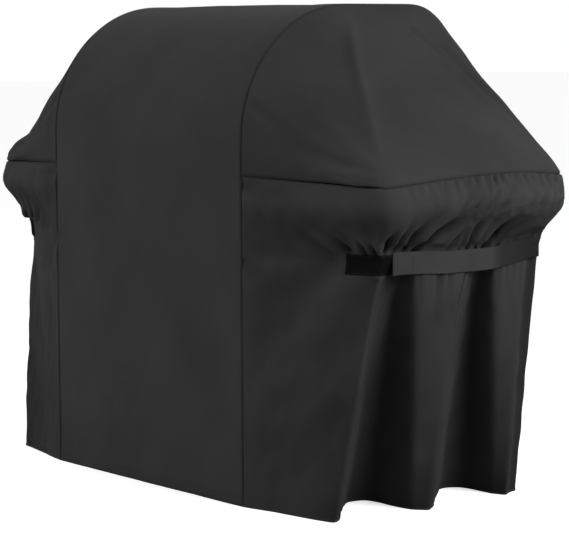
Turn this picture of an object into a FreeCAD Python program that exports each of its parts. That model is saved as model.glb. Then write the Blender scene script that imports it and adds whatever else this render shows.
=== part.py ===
"""Sewn weather cover for a cart grill, as it hangs over the grill: panels, bindings, hems and side straps.

Frame: millimetres, +X to the cover's right, +Y to its back, +Z up. The origin is the middle of the opening
at the bottom, in the plane of the hem. Everything on the right side is mirrored to the left side.
"""

import FreeCAD, Part
import math
import os
import Sketcher

V = FreeCAD.Vector

# Driving dimensions, in millimetres unless a comment says otherwise.
DIMENSIONS = {
    "total_width": 1524,  # over the side shelves
    "total_depth": 635,  # front of the control panel to the back
    "total_height": 1130,  # hem to the top of the lid
    "centre_width": 752,  # the one long panel that runs up the front, over the lid and down the back
    "cloth": 1.2,  # coated cloth with its lining
    "layer_gap": 0.1,  # between two cloth layers that are sewn together
    "shoulder_height": 742,  # seam between the hood panel and the skirt panel
    "lid_front_radius": 304,
    "lid_back_radius": 120,
    "shelf_setback": 86,  # the side shelf's front edge is this far behind the control panel
    "shelf_edge": 8,  # the hood turns down over the shelf's rounded edge by this much
    "shelf_edge_radius": 7,
    "binding_width": 20,  # tape over the raw edges of the two long seams
    "shoulder_binding": 18,
    "binding_thickness": 1.0,
    "hem_turn": 25,  # depth of the turned-up hem
    "straight_drop": 25,  # the skirt hangs straight this far under the shoulder seam
    "waist_top": 600,  # the straps draw the skirt in between these two heights
    "waist_bottom": 530,
    "waist_half_width": 708,
    "waist_front": 124,  # front corner of the waist, behind the front of the cover
    "waist_back": 604,
    "hem_front_corner": 616,  # half width of the hem at its front corner
    "hem_front": 71,  # that corner is this far behind the front of the cover
    "hem_back_corner": 648,
    "hem_back": 592,
    "hem_fold_depth": 160,
    "hem_fold_lean": 30,  # the folds lean over by this much
    "hem_fold_spread": 33,  # the middle fold stands out past the corners
    "hem_folds": 2,  # a count
    "strap_width": 50,
    "strap_centre": 565,  # height of the strap's middle
    "strap_thickness": 1.6,
    "strap_front": 155,  # free end of the strap, behind the front of the cover
    "tip_length": 60,  # part of the strap that carries the hook tape
    "strap_joint_gap": 1.0,  # slit between two rigid pieces of the one strap
    "strap_back": 575,  # where the strap leaves its sewn end
    "anchor_turn": 64,  # the sewn end runs this far round the back corner
    "tape_thickness": 1.2,  # hook tape and loop patch
    "tape_inset": 2,  # the hook tape is smaller than the strap by this much on each edge
    "patch_front_run": 82,  # length of the loop patch on the front of the skirt
    "patch_side_end": 205,  # its other end, round the corner, behind the front of the cover
}

doc = FreeCAD.newDocument("grill_cover")
sheet = doc.addObject("Spreadsheet::Sheet", "Sheet")


def fill_sheet():
    """One row per driving dimension: its value in column A, with its name as the alias."""
    for row, (alias, value) in enumerate(DIMENSIONS.items(), start=1):
        sheet.set(f"A{row}", str(value))
        sheet.setAlias(f"A{row}", alias)
    doc.recompute()


def size(alias):
    """A driving dimension, read from the sheet."""
    return float(getattr(sheet, alias))


def origin_plane(body, role):
    return next(f for f in body.Origin.OriginFeatures if f.Role == role)


def side_sketch(body, name, corners, offset):
    """A closed outline in the YZ plane, moved along X by the expression offset.

    corners holds one (y, z, radius) per corner, as expressions. radius is None where a straight line
    leaves the corner, and the radius of a clockwise arc where an arc leaves it.
    """
    sketch = body.newObject("Sketcher::SketchObject", name)
    sketch.AttachmentSupport = [(origin_plane(body, "YZ_Plane"), "")]
    sketch.MapMode = "FlatFace"
    sketch.setExpression(".AttachmentOffset.Base.z", offset)
    points = [V(sheet.evalExpression(y), sheet.evalExpression(z), 0) for y, z, _ in corners]
    count = len(corners)
    for i, (_, _, radius) in enumerate(corners):
        start, end = points[i], points[(i + 1) % count]
        if radius is None:
            sketch.addGeometry(Part.LineSegment(start, end), False)
        else:
            sketch.addGeometry(quarter_arc(start, end, sheet.evalExpression(radius)), False)
    for i, (_, _, radius) in enumerate(corners):
        after = (i + 1) % count
        leave = 1 if radius is None else 2  # a clockwise arc is stored from its far end
        arrive = 2 if radius is None else 1
        next_leave = 1 if corners[after][2] is None else 2
        sketch.addConstraint(Sketcher.Constraint("Coincident", i, arrive, after, next_leave))
        bind(sketch, "DistanceX", (i, leave), points[i].x, corners[i][0])
        bind(sketch, "DistanceY", (i, leave), points[i].y, corners[i][1])
        if radius is not None:
            index = sketch.addConstraint(Sketcher.Constraint("Radius", i, sheet.evalExpression(radius)))
            sketch.setExpression(f"Constraints[{index}]", radius)
    return sketch


def bind(sketch, kind, point, value, expression):
    """Fixes one coordinate of a sketch point, and ties it to the sheet."""
    index = sketch.addConstraint(Sketcher.Constraint(kind, point[0], point[1], value))
    sketch.setExpression(f"Constraints[{index}]", expression)


def quarter_arc(start, end, radius):
    """The arc that turns clockwise from start to end."""
    chord = end - start
    middle = start + chord * 0.5
    reach = math.sqrt(max(radius**2 - (chord.Length / 2) ** 2, 0))
    centre = middle + V(chord.y, -chord.x, 0).normalize() * reach
    circle = Part.Circle(centre, V(0, 0, 1), radius)
    first = math.atan2(end.y - centre.y, end.x - centre.x)
    last = math.atan2(start.y - centre.y, start.x - centre.x)
    return Part.ArcOfCircle(circle, first, last)


def lid_outline(inset, bottom):
    """Corners of the lid's side view, from its lower front over the top, inset by an expression."""
    front = f"(-Sheet.total_depth / 2 + {inset})"
    back = f"(Sheet.total_depth / 2 - {inset})"
    top = f"(Sheet.total_height - {inset})"
    return [
        (front, bottom, None),
        (front, "Sheet.total_height - Sheet.lid_front_radius", f"Sheet.lid_front_radius - {inset}"),
        ("-Sheet.total_depth / 2 + Sheet.lid_front_radius", top, None),
        ("Sheet.total_depth / 2 - Sheet.lid_back_radius", top, f"Sheet.lid_back_radius - {inset}"),
        (back, "Sheet.total_height - Sheet.lid_back_radius", None),
        (back, bottom, None),
    ]


def shelf_outline(inset, bottom):
    """Corners of the hood's low outer end, where it turns down over the side shelf's edge."""
    front = f"(-Sheet.total_depth / 2 + Sheet.shelf_setback + {inset})"
    back = f"(Sheet.total_depth / 2 - {inset})"
    top = f"(Sheet.shoulder_height + Sheet.shelf_edge - {inset})"
    bend = "(Sheet.shoulder_height + Sheet.shelf_edge - Sheet.shelf_edge_radius)"
    radius = f"(Sheet.shelf_edge_radius - {inset})"
    return [
        (front, bottom, None),
        (front, bend, radius),
        (f"{front} + {radius}", top, None),
        (f"{back} - {radius}", top, radius),
        (back, bend, None),
        (back, bottom, None),
    ]


def new_body(name):
    body = doc.addObject("PartDesign::Body", name)
    body.Label = name
    return body


def lid_band(name, inset, thickness, middle, width):
    """A strip of cloth of that width that runs from the front hem over the lid to the back hem."""
    body = new_body(name)
    pad = body.newObject("PartDesign::Pad", f"{name}_pad")
    pad.Profile = side_sketch(body, f"{name}_outside", lid_outline(inset, "0 mm"), middle)
    pad.SideType = "Symmetric"
    pad.setExpression("Length", width)
    doc.recompute()
    hollow = body.newObject("PartDesign::Pocket", f"{name}_hollow")
    inside = lid_outline(f"({inset} + {thickness})", "-Sheet.hem_turn")
    hollow.Profile = side_sketch(body, f"{name}_inside", inside, middle)
    hollow.Type = "ThroughAll"
    hollow.SideType = "Symmetric"
    body.Tip = hollow
    return body


def hood_panel(name):
    """The panel that slopes from the lid's end down to the edge of the side shelf, open underneath."""
    body = new_body(name)
    lid_end = "Sheet.centre_width / 2"
    shelf_end = "Sheet.total_width / 2"
    outside = body.newObject("PartDesign::AdditiveLoft", f"{name}_outside")
    outside.Profile = side_sketch(
        body, f"{name}_lid_end", lid_outline("0", "Sheet.shoulder_height"), lid_end
    )
    outside.Sections = [
        side_sketch(body, f"{name}_shelf_end", shelf_outline("0", "Sheet.shoulder_height"), shelf_end)
    ]
    outside.Ruled = True
    doc.recompute()
    below = "Sheet.shoulder_height - Sheet.cloth"
    inside = body.newObject("PartDesign::SubtractiveLoft", f"{name}_inside")
    inside.Profile = side_sketch(
        body, f"{name}_lid_end_inside", lid_outline("Sheet.cloth", below), lid_end
    )
    inside.Sections = [
        side_sketch(
            body,
            f"{name}_shelf_end_inside",
            shelf_outline("Sheet.cloth", below),
            f"{shelf_end} - Sheet.cloth",
        )
    ]
    inside.Ruled = True
    body.Tip = inside
    return body


class Level:
    """The skirt's outline at one height: its two corners, as half width and distance from the front."""

    def __init__(self, height, front_corner, back_corner, fold=0.0):
        self.height = height
        self.front_corner = V(*front_corner)
        self.back_corner = V(*back_corner)
        self.fold = fold


BULGE_STEPS = 3  # flat bands that make up the bulge between the waist and the shoulder
MEETS_SEAM = 0.5  # a run's end meets the long seam if the run's normal points along Y by more than this share


def skirt_levels():
    """Folded hem, drawn-in waist under the straps, then a bulge out to the shelf's edge."""
    waist_front = (size("waist_half_width"), size("waist_front"))
    waist_back = (size("waist_half_width"), size("waist_back"))
    shelf_front = (size("total_width") / 2, size("shelf_setback"))
    shelf_back = (size("total_width") / 2, size("total_depth"))
    hem_front = (size("hem_front_corner"), size("hem_front"))
    hem_back = (size("hem_back_corner"), size("hem_back"))
    bulge_top = size("shoulder_height") - size("straight_drop")
    levels = [
        Level(0, hem_front, hem_back, 1.0),
        Level(size("waist_bottom"), waist_front, waist_back),
    ]
    for i in range(BULGE_STEPS + 1):
        share = math.sin(math.pi / 2 * i / BULGE_STEPS)
        levels.append(
            Level(
                size("waist_top") + (bulge_top - size("waist_top")) * i / BULGE_STEPS,
                between(waist_front, shelf_front, share),
                between(waist_back, shelf_back, share),
            )
        )
    levels.append(Level(size("shoulder_height"), shelf_front, shelf_back))
    return levels


def between(start, end, share):
    return tuple(a + (b - a) * share for a, b in zip(start, end))


SIDE_POINTS = 41  # spline points along the side of the skirt


def side_run(level):
    """Points along the skirt's side at one height, from its front corner to its back corner."""
    if not level.fold:
        return [level.front_corner, level.back_corner]
    points = []
    for i in range(SIDE_POINTS):
        share = i / (SIDE_POINTS - 1)
        point = level.front_corner + (level.back_corner - level.front_corner) * share
        wave = math.cos(2 * math.pi * size("hem_folds") * share)
        rise = math.sin(math.pi * share)
        point.x += size("hem_fold_spread") * rise - size("hem_fold_depth") * (1 - wave) / 2
        point.y -= size("hem_fold_lean") * wave * rise
        points.append(point)
    return points


def resample(run, count):
    """The straight run start to end as that many evenly spaced points."""
    return [run[0] + (run[1] - run[0]) * (i / (count - 1)) for i in range(count)]


def skirt_path(level):
    """The skirt's outline at one height as three runs: front, side and back."""
    seam = size("centre_width") / 2
    side = side_run(level)
    if len(side) == 2:
        side = resample(side, SIDE_POINTS)
    return [
        [V(seam, 0), level.front_corner],
        side,
        [level.back_corner, V(seam, size("total_depth"))],
    ]


def left_of(start, end):
    """Unit vector to the left of the way from start to end: towards the inside of the cover."""
    way = (end - start).normalize()
    return V(-way.y, way.x)


def inset_path(path, distance):
    """The same runs moved inwards by distance. The two free ends slide along the seam they meet."""
    chain = path[0][:1] + [p for run in path for p in run[1:]]
    moved = []
    for i, point in enumerate(chain):
        if i in (0, len(chain) - 1):
            side = left_of(*(chain[:2] if i == 0 else chain[-2:]))
            slide = V(0, distance / side.y) if abs(side.y) > MEETS_SEAM else side * distance
            moved.append(point + slide)
            continue
        before, after = left_of(chain[i - 1], point), left_of(point, chain[i + 1])
        moved.append(point + (before + after) * (distance / (1 + before.dot(after))))
    runs, at = [], 0
    for run in path:
        runs.append(moved[at : at + len(run)])
        at += len(run) - 1
    return runs


def blend_paths(first, second, share):
    return [
        [a + (b - a) * share for a, b in zip(run_a, run_b)] for run_a, run_b in zip(first, second)
    ]


def run_edge(run, height):
    """One run of points as an edge at that height. y is measured from the front of the cover."""
    points = [V(p.x, p.y - size("total_depth") / 2, height) for p in run]
    if len(points) == 2:
        return Part.LineSegment(*points).toShape()
    spline = Part.BSplineCurve()
    spline.interpolate(Points=points, Parameters=[i / (len(points) - 1) for i in range(len(points))])
    return spline.toShape()


def band_wire(outer, inner, height):
    """The closed outline of a band of cloth at one height."""
    ends = [[outer[-1][-1], inner[-1][-1]], [inner[0][0], outer[0][0]]]
    back_again = [run[::-1] for run in inner[::-1]]
    runs = [*outer, ends[0], *back_again, ends[1]]
    return Part.Wire([run_edge(run, height) for run in runs])


def cloth_band(name, sections):
    """A sheet of cloth that stands on edge, given its (outer path, inner path, height) at each height."""
    feature = doc.addObject("Part::Feature", name)
    feature.Label = name
    wires = [band_wire(outer, inner, height) for outer, inner, height in sections]
    feature.Shape = Part.makeLoft(wires, True, True)
    feature.Placement = FreeCAD.Placement()
    return feature


def skirt_panel(name):
    sections = []
    for level in skirt_levels():
        path = skirt_path(level)
        sections.append((path, inset_path(path, size("cloth")), level.height))
    return cloth_band(name, sections)


def skirt_hem(name):
    """The skirt's turned-up hem, sewn to its inside."""
    hem, waist = (skirt_path(level) for level in skirt_levels()[:2])
    share = size("hem_turn") / size("waist_bottom")
    outside = size("cloth") + size("layer_gap")
    inside = outside + size("cloth")
    sections = []
    for part, height in ((0, 0), (share, size("hem_turn"))):
        outer = blend_paths(inset_path(hem, outside), inset_path(waist, outside), part)
        inner = blend_paths(inset_path(hem, inside), inset_path(waist, inside), part)
        sections.append((outer, inner, height))
    return cloth_band(name, sections)


def shoulder_binding(name):
    """Tape over the raw edges of the seam between hood and skirt."""
    path = skirt_path(skirt_levels()[-1])
    outside = size("cloth") + size("layer_gap")
    outer = inset_path(path, outside)
    inner = inset_path(path, outside + size("binding_thickness"))
    top = size("shoulder_height")
    return cloth_band(name, [(outer, inner, top - size("shoulder_binding")), (outer, inner, top)])


def wrap(name, path, inner_gap, thickness, half_height):
    """A flat band that lies on the outside of the waist, centred on the height of the strap."""
    inner = inset_path(path, -inner_gap)
    outer = inset_path(path, -inner_gap - thickness)
    middle = size("strap_centre")
    return cloth_band(name, [(outer, inner, middle - half_height), (outer, inner, middle + half_height)])


def loop_patch(name):
    """Loop tape sewn round the front corner of the waist. The strap's hook tape grips its side end."""
    corner = V(size("waist_half_width"), size("waist_front"))
    seam = V(size("centre_width") / 2, 0)
    front_end = corner + (seam - corner).normalize() * size("patch_front_run")
    side_end = V(size("waist_half_width"), size("patch_side_end"))
    height = size("strap_width") / 2 - size("tape_inset") / 2
    path = [[front_end, corner], [corner, side_end]]
    return wrap(name, path, size("layer_gap"), size("tape_thickness"), height)


def strap_anchor(name):
    """The strap's sewn end, which runs round the back corner of the waist."""
    corner = V(size("waist_half_width"), size("waist_back"))
    seam = V(size("centre_width") / 2, size("total_depth"))
    start = V(size("waist_half_width"), size("strap_back") + size("strap_joint_gap"))
    end = corner + (seam - corner).normalize() * size("anchor_turn")
    path = [[start, corner], [corner, end]]
    return wrap(name, path, size("layer_gap"), size("strap_thickness"), size("strap_width") / 2)


# Distance from the middle of the cover to the inner face of the tape on the strap, and of the strap.
TAPE_FACE = "(Sheet.waist_half_width + 2 * Sheet.layer_gap + Sheet.tape_thickness)"
STRAP_FACE = f"({TAPE_FACE} + Sheet.tape_thickness + Sheet.layer_gap)"


def plate(name, face, front, back, height, thickness):
    """A flat upright piece along the side of the waist. Its places are expressions, measured from the front."""
    box = doc.addObject("Part::Box", name)
    box.Label = name
    box.setExpression("Length", thickness)
    box.setExpression("Width", f"{back} - ({front})")
    box.setExpression("Height", height)
    box.setExpression(".Placement.Base.x", face)
    box.setExpression(".Placement.Base.y", f"{front} - Sheet.total_depth / 2")
    box.setExpression(".Placement.Base.z", f"Sheet.strap_centre - ({height}) / 2")
    return box


def centre_hem(name, side):
    """Turned-up hem of the centre panel, between its two seam bindings. side is -1 at the front."""
    box = doc.addObject("Part::Box", name)
    box.Label = name
    width = "(Sheet.centre_width - 2 * Sheet.binding_width - 2 * Sheet.layer_gap)"
    inset = "(Sheet.cloth + Sheet.layer_gap)"
    near = f"{inset}" if side < 0 else f"(Sheet.total_depth - {inset} - Sheet.cloth)"
    box.setExpression("Length", width)
    box.setExpression("Width", "Sheet.cloth")
    box.setExpression("Height", "Sheet.hem_turn")
    box.setExpression(".Placement.Base.x", f"-{width} / 2")
    box.setExpression(".Placement.Base.y", f"{near} - Sheet.total_depth / 2")
    return box


def mirror(source, name):
    """The left-hand copy of a right-hand piece."""
    copy = doc.addObject("Part::Mirroring", name)
    copy.Label = name
    copy.Source = source
    copy.Normal = V(1, 0, 0)
    return copy


def build():
    """Makes every piece and returns the ones that are handed over."""
    fill_sheet()
    single = [
        lid_band("centre_panel", "0", "Sheet.cloth", "0", "Sheet.centre_width"),
        centre_hem("front_hem", -1),
        centre_hem("back_hem", 1),
    ]
    strap_tip_end = "(Sheet.strap_front + Sheet.tip_length)"
    strap_start = f"({strap_tip_end} + Sheet.strap_joint_gap)"
    tape_height = "(Sheet.strap_width - 2 * Sheet.tape_inset)"
    right = [
        hood_panel("right_hood_panel"),
        skirt_panel("right_skirt_panel"),
        lid_band(
            "right_seam_binding",
            "(Sheet.cloth + Sheet.layer_gap)",
            "Sheet.binding_thickness",
            "Sheet.centre_width / 2 - Sheet.binding_width / 2",
            "Sheet.binding_width",
        ),
        shoulder_binding("right_shoulder_binding"),
        skirt_hem("right_skirt_hem"),
        loop_patch("right_loop_patch"),
        strap_anchor("right_strap_anchor"),
        plate(
            "right_strap",
            STRAP_FACE,
            strap_start,
            "Sheet.strap_back",
            "Sheet.strap_width",
            "Sheet.strap_thickness",
        ),
        plate(
            "right_strap_tip",
            STRAP_FACE,
            "Sheet.strap_front",
            strap_tip_end,
            "Sheet.strap_width",
            "Sheet.strap_thickness",
        ),
        plate(
            "right_hook_tape",
            TAPE_FACE,
            "(Sheet.strap_front + Sheet.tape_inset)",
            f"({strap_tip_end} - Sheet.tape_inset)",
            tape_height,
            "Sheet.tape_thickness",
        ),
    ]
    doc.recompute()
    left = [mirror(piece, piece.Label.replace("right_", "left_")) for piece in right]
    doc.recompute()
    return single + right + left


def check(pieces):
    """Stops unless every object recomputed and every piece is a valid, closed solid."""
    for thing in doc.Objects:
        if {"Invalid", "Error"} & set(thing.State):
            raise RuntimeError(f"{thing.Label} failed to recompute: {thing.State}")
    for piece in pieces:
        shape = piece.Shape
        if shape.isNull() or not shape.isValid() or not shape.Solids or shape.Volume <= 0:
            raise RuntimeError(f"{piece.Label} has no valid solid")


def write(pieces):
    os.makedirs("parts", exist_ok=True)
    for piece in pieces:
        piece.Shape.exportStep(os.path.join("parts", f"{piece.Label}.step"))
        print(f"{piece.Label:24s} {piece.Shape.Volume / 1000:9.1f} cm3  {len(piece.Shape.Solids)} solid")


handed_over = build()
check(handed_over)
write(handed_over)
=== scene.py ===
"""Soft visual model of the grill cover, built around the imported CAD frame.

Shapes are worked out in millimetres, with y measured from the front of the cover, and turned into the
frame's metres when a mesh is made. Each panel is a grid of points. The left side is the right side's mirror
image with its own wrinkles, drawn in a little further at the strap.
"""

import math

import bpy
import numpy as np
from mathutils import Matrix, Vector


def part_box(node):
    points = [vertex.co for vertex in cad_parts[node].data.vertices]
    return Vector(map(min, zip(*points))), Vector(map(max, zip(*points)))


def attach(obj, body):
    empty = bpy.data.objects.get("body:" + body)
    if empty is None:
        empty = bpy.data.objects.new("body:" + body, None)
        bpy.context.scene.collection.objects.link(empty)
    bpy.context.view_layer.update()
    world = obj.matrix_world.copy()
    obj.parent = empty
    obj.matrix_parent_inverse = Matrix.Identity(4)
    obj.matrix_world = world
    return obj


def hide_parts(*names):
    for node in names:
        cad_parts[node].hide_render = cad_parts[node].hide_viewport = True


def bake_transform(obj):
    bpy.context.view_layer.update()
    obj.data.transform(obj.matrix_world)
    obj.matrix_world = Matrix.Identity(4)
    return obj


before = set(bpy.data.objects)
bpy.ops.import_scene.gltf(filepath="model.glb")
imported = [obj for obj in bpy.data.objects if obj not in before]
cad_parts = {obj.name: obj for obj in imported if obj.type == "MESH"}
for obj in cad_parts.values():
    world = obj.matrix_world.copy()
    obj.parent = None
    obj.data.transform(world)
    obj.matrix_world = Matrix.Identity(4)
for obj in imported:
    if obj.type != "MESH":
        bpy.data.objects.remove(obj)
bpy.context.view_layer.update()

# ---------------------------------------------------------------- sizes read from the frame, in millimetres


def box_mm(node):
    low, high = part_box(node)
    return np.array(low) * 1000, np.array(high) * 1000


PANEL_LOW, PANEL_HIGH = box_mm("centre_panel")
HOOD_LOW, HOOD_HIGH = box_mm("right_hood_panel")
STRAP_LOW, STRAP_HIGH = box_mm("right_strap")
TIP_LOW = box_mm("right_strap_tip")[0]
PATCH_LOW, PATCH_HIGH = box_mm("right_loop_patch")
ANCHOR_LOW, ANCHOR_HIGH = box_mm("right_strap_anchor")
HEM_LOW, HEM_HIGH = box_mm("front_hem")

HALF_PANEL = PANEL_HIGH[0]
DEPTH = PANEL_HIGH[1] - PANEL_LOW[1]
FRONT_AT = PANEL_LOW[1]
TOP = PANEL_HIGH[2]
HALF_WIDTH = HOOD_HIGH[0]
SHOULDER = HOOD_LOW[2]
WAIST = ANCHOR_LOW[2] / 2 + ANCHOR_HIGH[2] / 2  # the strap's middle line
STRAP_WIDTH = STRAP_HIGH[2] - STRAP_LOW[2]
HEM_TURN = HEM_HIGH[2] - HEM_LOW[2]

CLOTH = 1.2  # thickness of one layer
LID_FRONT_RADIUS = 304.0
LID_BACK_RADIUS = 120.0
SETBACK = 86.0  # the side shelf's front edge, behind the front of the cover
SEAM_PAINTED_SHADE = 0.4  # how much darker the cloth is painted down in a seam, as painted shade
ROLL_DEPTH = 3.0  # how deep the cloth dips into a seam
ROLL_REACH = 2.8  # and how far from the seam it starts to
SEAM_STEPS = np.array([0, 0.9, 1.8, 2.8, 4.2])  # where a mesh has points close to a rolled seam edge


# ---------------------------------------------------------------- small helpers


def lerp(a, b, t):
    return a + (b - a) * t


def smooth(a, b, x):
    """0 before a, 1 after b, with a soft ramp between. a may be larger than b."""
    t = np.clip((np.asarray(x, float) - a) / (b - a), 0, 1)
    return t * t * (3 - 2 * t)


def soften(rows, passes):
    """Rounds a run of points along its first axis. The two ends stay where they are."""
    rows = rows.copy()
    for _ in range(passes):
        rows[1:-1] = rows[1:-1] / 2 + (rows[:-2] + rows[2:]) / 4
    return rows


def unit(v):
    return v / np.maximum(np.linalg.norm(v, axis=-1, keepdims=True), 1e-9)


def along(points):
    """Distance from the first point to each point of a run."""
    steps = np.linalg.norm(np.diff(points, axis=0), axis=1)
    return np.concatenate([[0], np.cumsum(steps)])


def resample_at(rows, at, distances):
    """Every column of rows, read between them at those distances. at is each row's own distance."""
    return np.stack([np.interp(distances, at, rows[:, k]) for k in range(rows.shape[1])], axis=1)


def resample(points, distances):
    """The points of a run at those distances along it."""
    return resample_at(points, along(points), distances)


def run_through(corners, counts, passes):
    """A soft run through corners, with that many steps on each straight part."""
    parts = [np.array(corners[0], float)[None]]
    for a, b, n in zip(corners, corners[1:], counts):
        t = (np.arange(1, n + 1) / n)[:, None]
        parts.append(np.array(a, float) * (1 - t) + np.array(b, float) * t)
    return soften(np.concatenate(parts), passes)


def ripple(points, scale, seed):
    """Smooth noise between about -1 and 1, with bumps about that far apart."""
    rng = np.random.default_rng(seed)
    waves = 9
    total = np.zeros(points.shape[:-1])
    for _ in range(waves):
        way = unit(rng.normal(size=3)) * 2 * math.pi / (scale * rng.uniform(0.75, 1.5))
        total += np.sin(points @ way + rng.uniform(0, 2 * math.pi))
    return total / math.sqrt(waves)


def normals_of(grid):
    """Unit normals of a grid of points. Rows run down or along, columns across; the sign is the caller's."""
    return unit(np.cross(np.gradient(grid, axis=1), np.gradient(grid, axis=0)))


def normals_out(grid, share_down, axis):
    """Unit normals that point out of the cover, which is up the axis at that share of the middle column."""
    out = normals_of(grid)
    return out if out[int(share_down * len(grid)), grid.shape[1] // 2, axis] > 0 else -out


def inside_ends(at, reach):
    """0 at both ends of a run, rising to 1 within that reach of them. at is each point's distance along."""
    return smooth(0, reach, at) * smooth(0, reach, at[-1] - at)


def edge_steps(length, spacing, rolled=True):
    """Distances along a run: even steps, with extra ones close to both ends if they are rolled."""
    count = max(int(round(length / spacing)), 2)
    even = np.linspace(0, length, count + 1)
    if not rolled:
        return even
    inner = even[(even > 5.5) & (even < length - 5.5)]
    return np.concatenate([SEAM_STEPS, inner, length - SEAM_STEPS[::-1]])


def graded(length, fine_from, fine_to, fine, coarse):
    """Distances along a run, closer together between two places and at its two rolled ends."""
    parts = [
        SEAM_STEPS,
        np.arange(7, fine_from, coarse),
        np.arange(max(fine_from, 7), fine_to, fine),
        np.arange(fine_to, length - 6, coarse),
        length - SEAM_STEPS[::-1],
    ]
    return np.concatenate(parts)


def crease(grid, start, end, depth, width, flare, taper, lead=10.0):
    """Height of a crease pressed into a grid: deepest at start, shallower and wider towards end.

    flare is how much it widens, taper how soon it gets shallower, and lead how far it reaches back.
    """
    a, b = np.array(start, float), np.array(end, float)
    way = b - a
    length = np.linalg.norm(way)
    t = ((grid - a) @ way) / length**2
    nearest = a + np.clip(t, 0, 1)[..., None] * way
    off = np.linalg.norm(grid - nearest, axis=-1)
    wide = width * (1 + flare * np.clip(t, 0, 1))
    strength = np.clip(1 - t, 0, 1) ** taper * smooth(-lead / length, 0, t)
    valley = np.exp(-((off / wide) ** 2))
    rim = np.exp(-(((off - 2.0 * wide) / wide) ** 2))
    return strength * depth * (0.34 * rim - valley)


def creases(grid, lines):
    """Several creases together, each one given as a crease's start, end and other values."""
    return sum(crease(grid, *line) for line in lines)


# ---------------------------------------------------------------- the panels' shapes


def lid_run():
    """The long seam's run from the front hem over the lid to the back hem, as (y, z)."""
    front = [(0.0, z) for z in np.arange(0, TOP - LID_FRONT_RADIUS, 6.0)]
    rise = [
        (LID_FRONT_RADIUS * (1 - math.cos(a)), TOP - LID_FRONT_RADIUS * (1 - math.sin(a)))
        for a in np.linspace(0, math.pi / 2, 80)
    ]
    flat = [(y, TOP) for y in np.arange(LID_FRONT_RADIUS + 6, DEPTH - LID_BACK_RADIUS, 6.0)]
    over = [
        (DEPTH - LID_BACK_RADIUS * (1 - math.sin(a)), TOP - LID_BACK_RADIUS * (1 - math.cos(a)))
        for a in np.linspace(0, math.pi / 2, 24)
    ]
    back = [(DEPTH, z) for z in np.arange(TOP - LID_BACK_RADIUS - 6, 0, -6.0)] + [(DEPTH, 0.0)]
    return soften(np.array(front + rise + flat + over + back), 14)


LID_RUN = lid_run()
LID_LENGTH = along(LID_RUN)[-1]
FRONT_SEAM_Z = 746.0  # where the shoulder seam meets the long seam
BACK_SEAM_Z = 744.0
CORNER_SEAM_Z = 733.0  # and where it passes the front corner
SEAM_RISE = 21.0  # its rise along the side
SEAM_FALL = 10.0  # its fall again towards the back corner
SEAM_PEAK = 0.72  # how far along the side it is highest


def seam_height(y):
    """Height of the shoulder seam along the side: it dips at the front corner."""
    share = np.clip((y - SETBACK) / (DEPTH - SETBACK), 0, 1)
    rise = SEAM_RISE * np.sin(math.pi / 2 * np.clip(share / SEAM_PEAK, 0, 1))
    return CORNER_SEAM_Z + rise - SEAM_FALL * smooth(SEAM_PEAK, 1.0, share)


def shoulder_run():
    """The shoulder seam in space: front, round the corner, side, round the corner, back."""
    plan = [(HALF_PANEL, 0), (HALF_WIDTH, SETBACK), (HALF_WIDTH, DEPTH), (HALF_PANEL, DEPTH)]
    run = run_through(plan, (66, 92, 64), 22)
    at = along(run)
    front_end = np.argmax(run[:, 0] > HALF_WIDTH - 6)
    back_start = len(run) - 1 - np.argmax(run[::-1, 0] > HALF_WIDTH - 6)
    z = seam_height(run[:, 1])
    front = at <= at[front_end]
    z[front] = lerp(FRONT_SEAM_Z, z[front_end], (at[front] / at[front_end]) ** 1.4)
    back = at >= at[back_start]
    share = (at[back] - at[back_start]) / (at[-1] - at[back_start])
    z[back] = lerp(z[back_start], BACK_SEAM_Z, share)
    return soften(np.column_stack([run, z]), 12)


SHOULDER_RUN = shoulder_run()

# The skirt's corners, in order round the right side, the same ones at three heights so that the folds run
# straight down the cloth. Each row has the corner's plan at the shoulder, the strap and the hem, how much it
# opens into a valley below the strap, how light the cloth is painted at the three heights (painted light and
# shade on the folds, lighter on the ridges than in the valleys at the strap), and how much painted shade
# darkens the hollow under the bulge.
CORNERS = (
    ((HALF_PANEL, 0), (HALF_PANEL, 0), (HALF_PANEL, 0), 0, (0.95, 0.95, 0.95), 0.15),  # long seam
    ((560, 41), (560, 66), (470, 20), 0, (0.95, 1, 0.88), 0.25),  # middle of the front section
    ((HALF_WIDTH, SETBACK), (706, 126), (648, 48), 0, (1.05, 1, 0.5), 0.3),  # front corner
    ((HALF_WIDTH, 160), (705, 172), (486, 210), 0.7, (1, 0.6, 0.7), 0.34),  # first valley
    ((HALF_WIDTH, 185), (704, 212), (496, 264), 1, (1, 0.6, 0.95), 0.34),
    ((HALF_WIDTH, 240), (708, 232), (638, 270), 0, (1, 0.85, 0.6), 0.32),  # second fold
    ((HALF_WIDTH, 345), (708, 366), (676, 298), 0, (1, 1.05, 0.5), 0.32),
    ((HALF_WIDTH, 415), (704, 424), (498, 486), 0.55, (1.05, 0.75, 0.95), 0.3),  # second valley
    ((HALF_WIDTH, 440), (699, 452), (516, 532), 1, (1.05, 0.55, 0.9), 0.34),
    ((HALF_WIDTH, 480), (708, 466), (624, 532), 0, (1.1, 0.95, 0.6), 0.38),  # third fold
    ((HALF_WIDTH, 575), (706, 562), (664, 548), 0, (1.15, 1.25, 0.5), 0.46),
    ((HALF_WIDTH, 600), (698, 580), (640, 576), 0.25, (1.1, 0.7, 0.5), 0.5),  # small valley
    ((HALF_WIDTH, DEPTH), (704, 606), (638, 606), 0, (1.1, 0.6, 0.55), 0.5),  # back corner
    ((560, DEPTH), (560, 620), (560, 616), 0, (0.9, 0.9, 0.9), 0.3),  # middle of the back section
    ((HALF_PANEL, DEPTH), (HALF_PANEL, DEPTH), (HALF_PANEL, DEPTH), 0, (0.9, 0.9, 0.9), 0.2),  # long seam
)
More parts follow.
